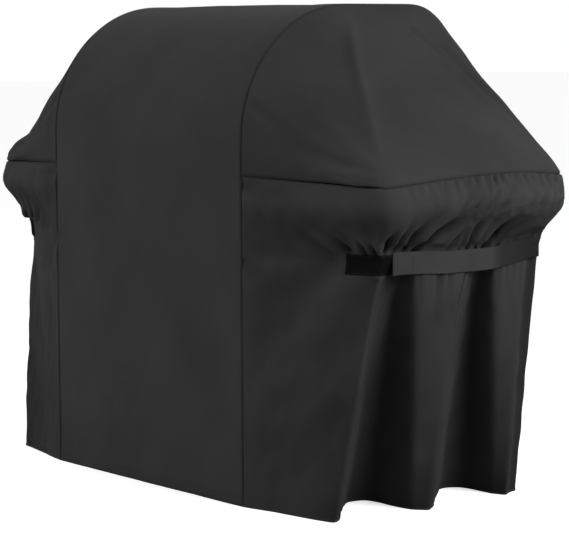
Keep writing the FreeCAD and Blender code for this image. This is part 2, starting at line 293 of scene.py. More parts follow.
SHOULDER_PLAN, WAIST_PLAN, HEM_PLAN, VALLEYS, PAINTED_SHADE_LEVELS, UNDERCUT_PAINTED_SHADE = zip(*CORNERS)
SHOULDER_PAINTED_SHADE, WAIST_PAINTED_SHADE, HEM_PAINTED_SHADE = zip(*PAINTED_SHADE_LEVELS)
PLAN_STEPS = (28, 30, 18, 10, 14, 18, 26, 6, 12, 14, 6, 6, 26, 30)  # samples from each corner to the next
BULGE = 16  # how far the cloth stands out below the shoulder seam
VALLEY_OPENING = 60  # how far the valleys open up just below the strap
LEFT_HEM_SHARE = 1.35  # how much further in than its waist the left side's hem hangs


def spread(values):
    """One value per sample of the plan, from one per corner."""
    stops = np.concatenate([[0], np.cumsum(PLAN_STEPS)])
    return np.interp(np.arange(stops[-1] + 1), stops, values)


def skirt_base(waist_in):
    """The skirt without its small creases, as rows from the shoulder down to the hem, and its painted
    shading.
    """
    top, waist, hem = [run_through(plan, PLAN_STEPS, 0) for plan in (SHOULDER_PLAN, WAIST_PLAN, HEM_PLAN)]
    waist[:, 0] -= waist_in * smooth(HALF_PANEL, 640, waist[:, 0])
    hem[:, 0] -= LEFT_HEM_SHARE * waist_in * smooth(HALF_PANEL, 600, hem[:, 0])
    share = along(top) / along(top)[-1]
    seam = resample(SHOULDER_RUN, share * along(SHOULDER_RUN)[-1])
    # drop is 0 at the shoulder, 1 at the strap and 2 at the hem
    drops = np.concatenate([np.linspace(0, 1, 30)[:-1], np.linspace(1, 2, 90)])
    rows = []
    painted_shading = []
    for drop in drops:
        if drop <= 1:  # out over the shelf's edge, then in to the strap
            plan = lerp(seam[:, :2], waist, float(smooth(0.26, 1.0, drop)))
            free = inside_ends(along(plan), 80)
            proud = BULGE * math.sin(math.pi * min(drop / 0.6, 1))
            plan = plan + outward(plan) * (proud * free)[:, None]
            rows.append(np.column_stack([plan, lerp(seam[:, 2], WAIST, drop)]))
            # painted shade darkens the hollow under the bulge, and the corners' painted light and shade
            # blends from the shoulder to the strap
            painted_undercut_darkening = 1 - spread(UNDERCUT_PAINTED_SHADE) * smooth(0.26, 0.5, drop) * smooth(1.0, 0.9, drop)
            painted_shade_scale = lerp(spread(SHOULDER_PAINTED_SHADE), spread(WAIST_PAINTED_SHADE), smooth(0.55, 1.0, drop))
            painted_shading.append(painted_shade_scale * painted_undercut_darkening)
        else:
            fall = drop - 1
            plan = lerp(waist, hem, fall)
            open_up = VALLEY_OPENING * (1 - math.exp(-fall / 0.09)) * (1 - fall)
            plan[:, 0] -= open_up * spread(VALLEYS)
            rows.append(np.column_stack([plan, np.full(len(plan), lerp(WAIST, 0, fall))]))
            # the corners' painted light and shade blends from the strap to the hem
            painted_shading.append(lerp(spread(WAIST_PAINTED_SHADE), spread(HEM_PAINTED_SHADE), fall))
    grid = np.array(rows)
    for i, drop in enumerate(drops):
        passes = lerp(8, 7, drop) if drop <= 1 else lerp(7, 9, drop - 1)
        grid[i] = soften(grid[i], int(passes))
    grid[0] = seam
    painted_shading = soften(np.array(painted_shading).T, 6).T
    return soften(grid, 10), painted_shading


def outward(plan):
    """Unit normals of a run in plan, pointing out of the cover."""
    way = unit(np.gradient(plan, axis=0))
    return np.column_stack([way[:, 1], -way[:, 0]])


def refine(grid, painted_shading, rows, cols):
    """The grid and its painted shading, at those distances down and across it."""
    both = np.concatenate([grid, painted_shading[..., None]], axis=-1)
    across = along(grid[len(grid) // 2])
    want = cols / cols[-1] * across[-1]
    wide = np.stack([resample_at(row, across, want) for row in both])
    down = along(wide[:, len(cols) // 2, :3])
    want = rows / rows[-1] * down[-1]
    both = np.stack([resample_at(column, down, want) for column in wide.transpose(1, 0, 2)], axis=1)
    return both[..., :3], both[..., 3]


def hood_base():
    """The hood without its small wrinkles. Rows follow the lid's outline, columns run down to the shelf."""
    # the lid's outline above the shoulder seam
    heights = LID_RUN[:, 1]
    half = len(heights) // 2
    first = np.argmax(heights > FRONT_SEAM_Z)
    last = half + np.argmax(heights[half:] < BACK_SEAM_Z) - 1
    lid = LID_RUN[first : last + 1].copy()
    lid[0] = (0, FRONT_SEAM_Z)
    lid[-1] = (DEPTH, BACK_SEAM_Z)
    arc_end = np.argmax(lid[:, 0] >= LID_FRONT_RADIUS)
    back_start = np.argmax(lid[:, 0] >= DEPTH - LID_BACK_RADIUS)
    # the shoulder seam's front, side and back parts
    at = along(SHOULDER_RUN)
    front_turn = np.argmax(SHOULDER_RUN[:, 1] > SETBACK - 16)
    front_turn_end = np.argmax(SHOULDER_RUN[:, 1] > SETBACK + 24)
    back_turn = np.argmax(SHOULDER_RUN[:, 1] > DEPTH - 26)
    back_turn_end = len(SHOULDER_RUN) - 1 - np.argmax(SHOULDER_RUN[::-1, 0] > HALF_WIDTH - 24)
    front = SHOULDER_RUN[: front_turn + 1]
    side = SHOULDER_RUN[front_turn : back_turn_end + 1]
    back = SHOULDER_RUN[back_turn_end:][::-1]
    stops = [0, at[front_turn_end] - at[front_turn], at[back_turn] - at[front_turn], along(side)[-1]]
    lid_at = along(lid)
    lid_stops = [0, lid_at[arc_end], lid_at[back_start], lid_at[-1]]
    rows_at = np.linspace(0, lid_at[-1], 190)
    edge = resample(side, np.interp(rows_at, lid_stops, stops))
    lid_points = resample(lid, rows_at)
    lid_points = np.column_stack([np.full(len(rows_at), HALF_PANEL), lid_points])
    t = np.linspace(0, 1, 100)
    grid = lid_points[:, None] * (1 - t)[:, None] + edge[:, None] * t[:, None]
    front = resample(front, t * along(front)[-1])
    back = resample(back, t * along(back)[-1])
    near = np.exp(-rows_at / 60)[:, None, None]
    far = np.exp(-(rows_at[-1] - rows_at) / 60)[:, None, None]
    grid = grid + near * (front - grid[0]) + far * (back - grid[-1])
    grid[:, 0] = lid_points
    grid[:, -1] = edge
    # round the surface a little in both directions, with its outline held
    grid = soften(grid, 16)
    grid = soften(grid.transpose(1, 0, 2), 6).transpose(1, 0, 2)
    return grid


# Drag lines on the hood: start, end, depth, width, flare, taper and lead.
HOOD_CREASES = (
    # to the front corner
    ((722, 78, 770), (450, 20, 835), 8, 12, 0.9, 0.6, 30),
    ((712, 80, 790), (510, 60, 870), 5, 10, 0.9, 0.8, 30),
    ((735, 80, 748), (640, 56, 756), 3.5, 6, 1.0, 0.9, 20),
    ((396, 22, 905), (520, 44, 830), 4, 9, 0.6, 0.8, 10),
    # down the back of the slope
    ((430, 455, 1074), (610, 596, 890), 3.0, 9, 0.5, 0.6, 10),
    ((470, 520, 1033), (690, 612, 808), 3.0, 11, 0.5, 0.6, 10),
    ((744, 618, 762), (560, 560, 945), 4.0, 10, 0.8, 0.8, 10),
)
# and on the centre panel, beside its left seam: start, end, depth, width, flare and taper
CENTRE_CREASES = (
    ((-372, 100, 1050), (-250, 30, 950), 3.0, 9, 1.0, 0.8),
    ((-372, 18, 925), (-190, 24, 948), 3.0, 8, 0.8, 0.7),
    ((-190, 20, 936), (-90, 48, 985), 2.0, 8, 0.8, 0.7),
)


def from_line(grid, point, way):
    """Distance of every point of a grid from a line."""
    return np.linalg.norm(np.cross(grid - point, way), axis=-1)


def hood_shape(seed, sag):
    """The hood's surface and its painted shading. sag is how far the cloth beside its ridge hangs in."""
    grid = hood_base()
    lid_at = along(grid[:, 0])
    t = np.linspace(0, 1, grid.shape[1])[None]  # 0 at the lid, 1 at the shoulder seam
    out = normals_out(grid, 0.5, 2)
    # the hip: a soft ridge from the lid's rounded front to the front corner, with a hollow in front of it
    hip = np.array([HALF_PANEL, LID_FRONT_RADIUS, TOP])
    way = unit(np.array([HALF_WIDTH, SETBACK, seam_height(SETBACK)]) - hip)
    off = from_line(grid, hip, way)
    across = unit(np.cross(way, [0.55, -0.45, 0.7]))
    front_side = (grid - hip) @ across * np.sign(across[1]) < 0
    hollow = np.where(front_side, -12 * (off / 36) * np.exp(1 - off / 36), 0)
    ridge = 2.5 * np.exp(-((off / 16) ** 2))
    # the slope sinks in along its back edge
    back_hip = np.array([HALF_PANEL, DEPTH - LID_BACK_RADIUS, TOP])
    back_way = unit(np.array([HALF_WIDTH, DEPTH, BACK_SEAM_Z]) - back_hip)
    back_off = from_line(grid, back_hip, back_way)
    hollow -= 6 * np.exp(-((back_off / 90) ** 2)) * (1 - 0.5 * t)
    hollow -= sag * np.sin(math.pi * t) * np.exp(-((off / 80) ** 2))
    env = smooth(0.03, 0.25, t) * smooth(0.98, 0.7, t)
    # the cloth rolls 9 mm proud over the shelf's edge, just above the shoulder seam
    edge_roll = 9 * (t**6 * (1 - t)) / 0.0567
    bump = env * (hollow + ridge) + edge_roll * inside_ends(lid_at, 60)[:, None]
    bump += creases(grid, HOOD_CREASES)
    soft = smooth(0, 50, lid_at)[:, None] * smooth(0, 0.12, t) * smooth(1, 0.9, t)
    bump += soft * (1.6 * ripple(grid, 170, seed) + 0.5 * ripple(grid, 60, seed + 1))
    # painted highlight along the hip's ridge, then painted shade in the hollows and creases and a little
    # painted light on the rises
    painted_shading = 0.97 + 0.12 * env * np.exp(-((off / 12) ** 2))
    return grid + out * bump[..., None], painted_shading + 0.012 * np.clip(bump, -8, 4)


def centre_shape(seed):
    """The centre panel's surface, with rows from the front hem to the back hem, and its painted shading."""
    run = resample(LID_RUN, np.linspace(0, LID_LENGTH, 380))
    x = np.linspace(-HALF_PANEL, HALF_PANEL, 110)
    grid = np.empty((len(run), len(x), 3))
    grid[..., 0] = x[None]
    grid[..., 1:] = run[:, None]
    out = normals_out(grid, 0.5, 2)
    free = smooth(0, 90, HALF_PANEL - np.abs(grid[..., 0]))
    bump = free * (1.5 * ripple(grid, 260, seed) + 0.5 * ripple(grid, 90, seed + 1))
    bump += creases(grid, CENTRE_CREASES)
    # painted shade: the panel is painted darker towards the bottom
    painted_shading = lerp(0.92, 1.0, smooth(0, TOP, grid[..., 2]))
    return grid + out * bump[..., None], painted_shading


HELD_AT = 708.5  # the cloth's face under the strap
CORNER_Y = 124.0  # the front corner at the strap


def strap_height(y):
    """Height of the strap's middle: it sags a little and climbs at the back corner."""
    return WAIST - 6 * smooth(200, 330, y) + 19 * smooth(430, 600, y)


def skirt_grid(waist_in):
    """The skirt's base shape on its final mesh: finer at the gathers and the side folds."""
    grid, painted_shading = skirt_base(waist_in)
    row = grid[60]  # a third of the way from the strap to the hem
    at = along(row)
    side = at[row[:, 0] > 640]
    cols = graded(at[-1], side[0] - 60, side[-1] + 20, 4.4, 8.5)
    rows = graded(SHOULDER, 4.2, SHOULDER - WAIST + 90, 3.6, 7.0)
    return refine(grid, painted_shading, rows, cols)


# The gathers that the strap makes above itself on the side: y at the strap, y and z at the top, depth, width.
GATHERS = (
    (133, 126, 685, 24, 6), (158, 164, 680, 14, 6), (188, 214, 678, 17, 7), (216, 322, 685, 36, 9),
    (234, 262, 640, 8, 6), (266, 300, 625, 5, 6), (312, 352, 640, 7, 6), (352, 360, 705, 12, 5),
    (374, 384, 650, 15, 6), (400, 436, 655, 11, 6), (426, 520, 708, 38, 9), (446, 530, 675, 16, 6),
    (466, 566, 712, 22, 8), (494, 576, 700, 17, 6), (520, 592, 718, 21, 7), (548, 600, 700, 15, 6),
    (574, 608, 712, 12, 6),
)
# The same on the front section: how far across it, the lean away from the corner, the rise and the depth.
FRONT_GATHERS = ((0.965, 12, 108, 23), (0.91, 32, 104, 28), (0.80, 56, 74, 15), (0.66, 70, 44, 6))
# And below the strap: y at the strap, the change in y downwards, depth, width and length.
LOWER_GATHERS = (
    (140, 6, 8, 6, 110), (240, 6, 5, 6, 90), (300, -8, 6, 8, 130), (330, -12, 5, 6, 70),
    (398, -26, 12, 5, 120), (420, -30, 9, 5, 100), (478, 12, 5, 7, 160), (500, 16, 6, 7, 120),
    (522, 12, 5, 7, 150), (546, 6, 5, 7, 170),
)
# A sharp line pressed in beside the second fold's ridge, as (y, z) from the top down.
PRESSED_LINE = ((376, 534), (348, 280), (310, 12))
# Long soft folds across the front section: start, end, depth, width, flare and taper.
FRONT_FOLDS = (
    ((690, 116, 530), (430, 12, 150), 5, 30, 0.6, 0.5),
    ((700, 110, 640), (400, 4, 440), 5, 26, 0.6, 0.5),
    ((380, 4, 728), (600, 60, 688), 4.5, 13, 0.6, 0.5),
    ((380, 2, 560), (520, 34, 470), 4, 16, 0.6, 0.5),
    ((660, 100, 700), (430, 16, 560), 4, 24, 0.6, 0.5),
    ((640, 60, 260), (450, 10, 40), 4, 30, 0.6, 0.5),
)


def strap_gathers(grid, held_at):
    """The creases that run up and down from the strap's edges."""
    edge = STRAP_WIDTH / 2 - 4
    bump = np.zeros(grid.shape[:2])
    for y, y_top, z_top, depth, width in GATHERS:
        start = (held_at, y, strap_height(y) + edge)
        bump += crease(grid, start, (held_at + 34, y_top, z_top), depth, width, 1.5, 0.6)
    for share, lean, rise, depth in FRONT_GATHERS:
        x, y, z = lerp(HALF_PANEL, held_at, share), lerp(0, CORNER_Y, share), WAIST + edge
        bump += crease(grid, (x, y, z), (x - lean, y - 0.5 * lean, z + rise), depth, 6, 1.5, 0.5)
    for y, change, depth, width, length in LOWER_GATHERS:
        z = strap_height(y) - edge
        bump += crease(grid, (held_at, y, z), (held_at - 12, y + change, z - length), depth, width, 0.8, 1.0)
    return bump


def pressed_line(grid):
    """The pressed line's height. Its distance is measured in side view, because the ridge leans inwards."""
    side_view = grid * [0, 1, 1]
    height = np.zeros(grid.shape[:2])
    for start, end in zip(PRESSED_LINE, PRESSED_LINE[1:]):
        height = np.minimum(height, crease(side_view, (0, *start), (0, *end), 4, 3.6, 0.1, 0.05, 2.0))
    return height


def puckers(grid, rng):
    """Small puckers under the shoulder seam, stronger towards the back."""
    bump = np.zeros(grid.shape[:2])
    y = 150.0
    while y < DEPTH - 14:
        start = (HALF_WIDTH + 4, y, seam_height(y) - 5)
        end = (HALF_WIDTH + 6, y + rng.uniform(-18, 26), seam_height(y) - rng.uniform(38, 80))
        strength = lerp(0.5, 1.3, smooth(200, 480, y))
        bump += crease(grid, start, end, strength * rng.uniform(3, 6.5), rng.uniform(4.5, 7), 1.0, 0.9)
        y += rng.uniform(17, 34)
    return bump


def crumples(grid, rng):
    """Short crumples between the gathers and the seam, closer together towards the back."""
    bump = np.zeros(grid.shape[:2])
    count = 26
    for k in range(count):
        y = DEPTH - 20 - 340 * (k / count) ** 1.4
        z = lerp(645, 700, (0.62 * k) % 1) + rng.uniform(-8, 8)
        length = rng.uniform(22, 48)
        start, end = (HALF_WIDTH + 8, y, z), (HALF_WIDTH + 10, y + 0.6 * length, min(z + 0.8 * length, 728))
        bump += crease(grid, start, end, rng.uniform(3, 6.5), rng.uniform(4.5, 6), 0.7, 0.8)
    return bump


def under_patch(grid):
    """1 where the loop patch is sewn on and keeps the cloth flat, 0 elsewhere."""
    along_patch = smooth(600, 630, grid[..., 0]) * smooth(214, 196, grid[..., 1])
    up_from_waist = np.abs(grid[..., 2] - WAIST)
    return along_patch * smooth(STRAP_WIDTH / 2 + 3, STRAP_WIDTH / 2 - 4, up_from_waist)


def skirt_shape(seed, waist_in):
    """The skirt's surface and its painted shading. waist_in is how much further in the strap holds it."""
    grid, painted_shading = skirt_grid(waist_in)
    out = normals_out(grid, 0.2, 0)
    rng = np.random.default_rng(seed)
    held_at = HELD_AT - waist_in
    pressed = pressed_line(grid)
    bump = strap_gathers(grid, held_at) + pressed
    bump += puckers(grid, rng)
    bump += crumples(grid, rng)
    bump += creases(grid, FRONT_FOLDS)
    bump *= 1 - 0.9 * under_patch(grid)
    down = along(grid[:, grid.shape[1] // 2])
    free = inside_ends(along(grid[30]), 60)[None] * smooth(0, 50, down)[:, None]
    bump += free * (1.8 * ripple(grid, 150, seed) + 0.7 * ripple(grid, 50, seed + 1))
    grid = grid + out * bump[..., None]
    # the strap holds the cloth in along the side
    over = np.abs(grid[..., 2] - strap_height(grid[..., 1])) - (STRAP_WIDTH / 2 + 3)
    limit = held_at + 120 * smooth(0, 60, over) + 60 * (1 - smooth(108, 122, grid[..., 1]))
    grid[..., 0] = np.minimum(grid[..., 0], limit)
    # painted shade in the creases and a painted shadow along the pressed line, with a little painted light on
    # the rises
    return grid, painted_shading + 0.04 * np.clip(bump, -12, 4) + 0.1 * pressed


# ---------------------------------------------------------------- turning grids into meshes


def to_metres(points, side):
    """From the shape's millimetres to the frame's metres, mirrored for the left side."""
    p = np.asarray(points, float).copy()
    p[..., 1] += FRONT_AT
    p[..., 0] *= side
    return p / 1000


def grid_faces(rows, cols, flip):
    i = np.arange(rows * cols).reshape(rows, cols)
    quads = np.stack([i[:-1, :-1], i[:-1, 1:], i[1:, 1:], i[1:, :-1]], axis=-1).reshape(-1, 4)
    return quads[:, ::-1] if flip else quads


def add_object(name, data):
    made = bpy.data.objects.new(name, data)
    bpy.context.scene.collection.objects.link(made)
    return made


def make_mesh(name, points, faces, uv=None, painted_shading=None):
    """A mesh in the scene. uv and painted_shading have one value per point."""
    mesh = bpy.data.meshes.new(name)
    mesh.from_pydata(points.reshape(-1, 3).tolist(), [], faces.tolist())
    if uv is not None:
        layer = mesh.uv_layers.new(name="cloth")
        corners = np.empty(len(mesh.loops), np.int64)
        mesh.loops.foreach_get("vertex_index", corners)
        layer.data.foreach_set("uv", uv.reshape(-1, 2)[corners].astype(np.float32).ravel())
    if painted_shading is not None:
        mesh.attributes.new("painted_shading", "FLOAT", "POINT").data.foreach_set("value", painted_shading.astype(np.float32))
    mesh.polygons.foreach_set("use_smooth", [True] * len(mesh.polygons))
    mesh.validate()
    return add_object(name, mesh)


def spans(grid):
    """Mean distance along a grid's rows and down its columns, for measuring in from its edges."""
    rows, cols = grid.shape[:2]
    across = np.array([along(grid[r]) for r in (rows // 3, rows // 2, 2 * rows // 3)]).mean(0)
    down = np.array([along(grid[:, c]) for c in (cols // 3, cols // 2, 2 * cols // 3)]).mean(0)
    return across, down


def seam_dip(grid, rolled, reach):
    """1 along the named edges, falling to 0 within about that reach of them."""
    across, down = spans(grid)
    edges = {
        "left": across[None] + 0 * down[:, None],
        "right": (across[-1] - across)[None] + 0 * down[:, None],
        "top": down[:, None] + 0 * across[None],
        "bottom": (down[-1] - down)[:, None] + 0 * across[None],
    }
    dip = np.zeros(grid.shape[:2])
    for edge in rolled:
        dip = np.maximum(dip, np.exp(-((edges[edge] / reach) ** 2)))
    return dip


def shell(name, sheet, side, thickness, rolled=(), painted_shading=None):
    """A layer of cloth with the sheet as its outer face. rolled names the edges that dip into a seam."""
    grid, out = sheet
    rows, cols = grid.shape[:2]
    dip = seam_dip(grid, rolled, ROLL_REACH)
    outer = grid - out * ROLL_DEPTH * dip[..., None]
    inner = outer - out * thickness
    points = np.concatenate([outer.reshape(-1, 3), inner.reshape(-1, 3)])
    flip = faces_flip(outer, out)
    n = rows * cols
    face_out = grid_faces(rows, cols, flip)
    face_in = grid_faces(rows, cols, not flip) + n
    ring = np.concatenate([
        np.arange(cols),
        np.arange(2 * cols - 1, n, cols),
        np.arange(n - 2, n - cols - 1, -1),
        np.arange(n - 2 * cols, 0, -cols),
    ])
    after = np.roll(ring, -1)
    rim = np.stack([ring, ring + n, after + n, after], axis=-1)
    if flip:
        rim = rim[:, ::-1]
    faces = np.concatenate([face_out, face_in, rim])
    if side < 0:
        faces = faces[:, ::-1]
    across, down = spans(grid)
    uv = np.stack(np.broadcast_arrays(across[None], -down[:, None]), axis=-1) / 1000
    uv = np.concatenate([uv.reshape(-1, 2), uv.reshape(-1, 2)])
    painted_shading = np.ones((rows, cols)) if painted_shading is None else painted_shading
    # painted shade: the cloth is painted darker down in the rolled seams
    painted_shading = np.concatenate([(painted_shading * (1 - SEAM_PAINTED_SHADE * dip)).ravel(), np.ones(n)])
    piece = make_mesh(name, to_metres(points, side), faces, uv, painted_shading)
    inside = np.zeros(len(faces), np.int32)
    inside[len(face_out) : len(face_out) + len(face_in)] = 1
    piece.data.polygons.foreach_set("material_index", inside)
    return piece


def faces_flip(grid, out):
    """True if plain grid faces would face inwards."""
    r, c = grid.shape[0] // 2, grid.shape[1] // 2
    normal = np.cross(grid[r, c + 1] - grid[r, c], grid[r + 1, c] - grid[r, c])
    return float(normal @ out[r, c]) < 0


def sample(sheet, i, j):
    """A sheet's points and normals at fractional rows i and columns j."""
    grid = np.concatenate(sheet, axis=-1)
    i, j = np.broadcast_arrays(np.asarray(i, float), np.asarray(j, float))
    i0 = np.clip(i.astype(int), 0, grid.shape[0] - 2)
    j0 = np.clip(j.astype(int), 0, grid.shape[1] - 2)
    u, v = (i - i0)[..., None], (j - j0)[..., None]
    low = grid[i0, j0] * (1 - v) + grid[i0, j0 + 1] * v
    high = grid[i0 + 1, j0] * (1 - v) + grid[i0 + 1, j0 + 1] * v
    both = low * (1 - u) + high * u
    return both[..., :3], unit(both[..., 3:])


def turned(sheet, edge):
    """The sheet turned so that the named edge is its first row."""
    grid, out = sheet
    if edge == "bottom":
        return grid[::-1], out[::-1]
    if edge == "left":
        return grid.transpose(1, 0, 2), out.transpose(1, 0, 2)
    if edge == "right":
        return grid[:, ::-1].transpose(1, 0, 2), out[:, ::-1].transpose(1, 0, 2)
    return sheet


def line_at(sheet, edge, distance):
    """The line, as points and normals, at that distance in from an edge. A little below 0 lies beyond it."""
    grid, out = turned(sheet, edge)
    near = (grid[:16], out[:16])
    at = np.array([along(column) for column in near[0].transpose(1, 0, 2)])
    rows = np.array([np.interp(max(distance, 0), a, np.arange(len(a))) for a in at])
    line, normal = sample(near, rows, np.arange(grid.shape[1]))
    if distance < 0:
        line = line + unit(grid[0] - grid[3]) * -distance
    return line, normal


def edge_strip(sheet, edge, section):
    """A strip along an edge. Its section is a run of (distance in from the edge, height off the face)."""
    lines = [line_at(sheet, edge, distance) for distance, _ in section]
    grid = np.array([line + out * height for (line, out), (_, height) in zip(lines, section)])
    out = normals_of(grid)
    middle = grid.shape[1] // 2
    if out[0, middle] @ lines[0][1][middle] < 0:
        out = -out
    return grid, out


def bars(lines, radius, sides):
    """Many small rounded bars: lines is (bar, place along it, 3), radius goes with the places along it."""
    count, places = lines.shape[:2]
    way = unit(np.gradient(lines, axis=1))
    helper = np.where(np.abs(way[..., 2:]) < 0.9, [[[0.0, 0.0, 1.0]]], [[[1.0, 0.0, 0.0]]])
    a = unit(np.cross(way, helper))
    b = np.cross(way, a)
    ring = []
    for k in range(sides):
        turn = 2 * math.pi * k / sides
        ring.append(lines + radius[None, :, None] * (a * math.cos(turn) + b * math.sin(turn)))
    points = np.stack(ring, axis=2).reshape(-1, 3)
    start = (np.arange(count) * places * sides)[:, None, None]
    step = (np.arange(places - 1) * sides)[None, :, None]
    k = np.arange(sides)[None, None]
    n = (k + 1) % sides
    here = start + step
    there = here + sides
    return points, np.stack([here + k, here + n, there + n, there + k], axis=-1).reshape(-1, 4)


def stitching(name, runs, side):
    """A row of lock stitches along each run of (points, normals), every stitch sunk at both ends."""
    pitch, length, radius = 4.4, 3.3, 0.4
    share = (0.0, 0.22, 0.5, 0.78, 1.0)  # along the stitch
    lift = (-0.35, 0.28, 0.4, 0.28, -0.35)
    thick = radius * np.array([0.3, 1, 1, 1, 0.3])
    stitches = []
    for line, out in runs:
        at = along(line)
        starts = np.arange(pitch, at[-1] - pitch, pitch)
        both = np.concatenate([line, out], axis=1)
        places = []
        for part, up in zip(share, lift):
            spots = resample_at(both, at, starts + part * length)
            places.append(spots[:, :3] + unit(spots[:, 3:]) * up)
        stitches.append(np.stack(places, axis=1))
    points, faces = bars(np.concatenate(stitches), thick, 4)
    piece = make_mesh(name, to_metres(points, side), faces)
    piece.data.materials.append(THREAD)
    return piece


# ---------------------------------------------------------------- materials


def new_material(name):
    material = bpy.data.materials.new(name)
    material.use_nodes = True
    nodes = material.node_tree.nodes
    return material, nodes, material.node_tree.links, nodes["Principled BSDF"]


def math_node(nodes, links, operation, a, b=None):
    node = nodes.new("ShaderNodeMath")
    node.operation = operation
    for socket, value in zip(node.inputs, (a, b)):
        if value is None:
            continue
        if isinstance(value, (int, float)):
            socket.default_value = value
        else:
            links.new(value, socket)
    return node.outputs[0]


def set_inputs(node, values):
    for name, value in values.items():
        node.inputs[name].default_value = value


def noise_node(nodes, links, place, scale, detail=2.0):
    noise = nodes.new("ShaderNodeTexNoise")
    set_inputs(noise, {"Scale": scale, "Detail": detail, "Roughness": 0.5})
    links.new(place.outputs["Object"], noise.inputs["Vector"])
    return noise.outputs["Fac"]


def ramp_node(nodes, links, factor, colour, spread_by, low=0.0, high=1.0):
    """The colour, darker where the factor is low and lighter where it is high."""
    ramp = nodes.new("ShaderNodeValToRGB")
    dark, light = ramp.color_ramp.elements
    dark.position = low
    light.position = high
    dark.color = (*[c * (1 - spread_by) for c in colour], 1)
    light.color = (*[c * (1 + spread_by) for c in colour], 1)
    links.new(factor, ramp.inputs["Fac"])
    return ramp.outputs["Color"]


def bump_node(nodes, links, height, strength, distance, under=None):
    bump = nodes.new("ShaderNodeBump")
    set_inputs(bump, {"Strength": strength, "Distance": distance})
    links.new(height, bump.inputs["Height"])
    if under is not None:
        links.new(under, bump.inputs["Normal"])
    return bump.outputs["Normal"]


def weave_height(nodes, links, pitch):
    """Height of a plain weave: crossing threads that follow the cloth's own two directions."""
    uv = nodes.new("ShaderNodeUVMap")
    uv.uv_map = "cloth"
    split = nodes.new("ShaderNodeSeparateXYZ")
    links.new(uv.outputs[0], split.inputs[0])
    turns = 2 * math.pi / pitch
    warp, weft = [
        math_node(nodes, links, "SINE", math_node(nodes, links, "MULTIPLY", split.outputs[k], turns))
        for k in range(2)
    ]
    return math_node(nodes, links, "MULTIPLY", warp, weft)


def cloth_material(name, colour, pitch=0.0011, rough=0.9, sheen=0.03, weave=0.5):
    """Matt woven cloth: plain weave, faint slubs, soft crumples and a little uneven colour."""
    material, nodes, links, bsdf = new_material(name)
    place = nodes.new("ShaderNodeTexCoord")
    crumple = noise_node(nodes, links, place, 28, 3)
    blotch = noise_node(nodes, links, place, 5, 5)
    slub = noise_node(nodes, links, place, 420)
    mixed = math_node(
        nodes, links, "ADD",
        math_node(nodes, links, "MULTIPLY", blotch, 0.7),
        math_node(nodes, links, "MULTIPLY", slub, 0.3),
    )
    colour = ramp_node(nodes, links, mixed, colour, 0.2, 0.3, 0.7)
    # the mesh says how much light and shade is painted into the cloth's colour at each point
    painted_shading_input = nodes.new("ShaderNodeAttribute")
    painted_shading_input.attribute_name = "painted_shading"
    tint = nodes.new("ShaderNodeVectorMath")
    tint.operation = "SCALE"
    links.new(colour, tint.inputs[0])
    links.new(painted_shading_input.outputs["Fac"], tint.inputs["Scale"])
    links.new(tint.outputs[0], bsdf.inputs["Base Color"])
    crumpled = bump_node(nodes, links, crumple, 0.25, 0.004)
    woven = bump_node(nodes, links, weave_height(nodes, links, pitch), weave, 0.0002, crumpled)
    links.new(woven, bsdf.inputs["Normal"])
    set_inputs(bsdf, {
        "Roughness": rough, "Specular IOR Level": 0.12, "Sheen Weight": sheen, "Sheen Roughness": 0.45,
    })
    return material


def pile_material(name, colour):
    """Brushed loop pile: deep, dull and slightly uneven."""
    material, nodes, links, bsdf = new_material(name)
    fuzz = noise_node(nodes, links, nodes.new("ShaderNodeTexCoord"), 900, 4)
    links.new(ramp_node(nodes, links, fuzz, colour, 0.5), bsdf.inputs["Base Color"])
    links.new(bump_node(nodes, links, fuzz, 0.8, 0.0006), bsdf.inputs["Normal"])
    set_inputs(bsdf, {"Roughness": 1.0, "Specular IOR Level": 0.03})
    return material


def plain_material(name, colour, rough, specular, scale):
    """Moulded plastic or twisted thread: one colour that varies a little, with fine bumps."""
    material, nodes, links, bsdf = new_material(name)
    noise = noise_node(nodes, links, nodes.new("ShaderNodeTexCoord"), scale)
    links.new(ramp_node(nodes, links, noise, colour, 0.25), bsdf.inputs["Base Color"])
    links.new(bump_node(nodes, links, noise, 0.4, 0.0002), bsdf.inputs["Normal"])
    set_inputs(bsdf, {"Roughness": rough, "Specular IOR Level": specular})
    return material


def shade(v):
    """A nearly neutral grey, a touch cool."""
    return (v, v, v * 1.03)


OXFORD = cloth_material("black_oxford_cloth", shade(0.034))
BACKING = cloth_material("coated_backing", shade(0.045), rough=0.5, sheen=0.0, weave=0.25)
TAPE = cloth_material("black_seam_tape", shade(0.02), pitch=0.0016)
HEM_CLOTH = cloth_material("black_hem_cloth", shade(0.028))
WEBBING = cloth_material("grey_black_webbing", shade(0.036), pitch=0.0014, rough=0.7, weave=0.8)
LOOP = pile_material("black_loop_pile", shade(0.007))
HOOK = plain_material("black_hook_nylon", shade(0.02), 0.35, 0.4, 700)
THREAD = plain_material("black_thread", shade(0.03), 0.6, 0.2, 2500)


def dress(piece, slot, materials, *nodes, body="cover"):
    """Gives a piece its materials, hides the CAD nodes it stands for, and lets it ride on a body. slot is not
    used.
    """
    for material in materials:
        piece.data.materials.append(material)
    if body:
        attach(piece, body)
    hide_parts(*nodes)


# ---------------------------------------------------------------- the sewn panels


def build_centre():
    base, painted_shading = centre_shape(11)
    rows = edge_steps(LID_LENGTH, 8, rolled=False)
    cols = edge_steps(2 * HALF_PANEL, 8)
    grid, painted_shading = refine(base, painted_shading, rows, cols)
    sheet = grid, normals_out(grid, 0.5, 2)
    piece = shell("centre_panel_cloth", sheet, 1, CLOTH, ("left", "right"), painted_shading)
    dress(piece, "shell_cloth", (OXFORD, BACKING), "centre_panel")
    return sheet


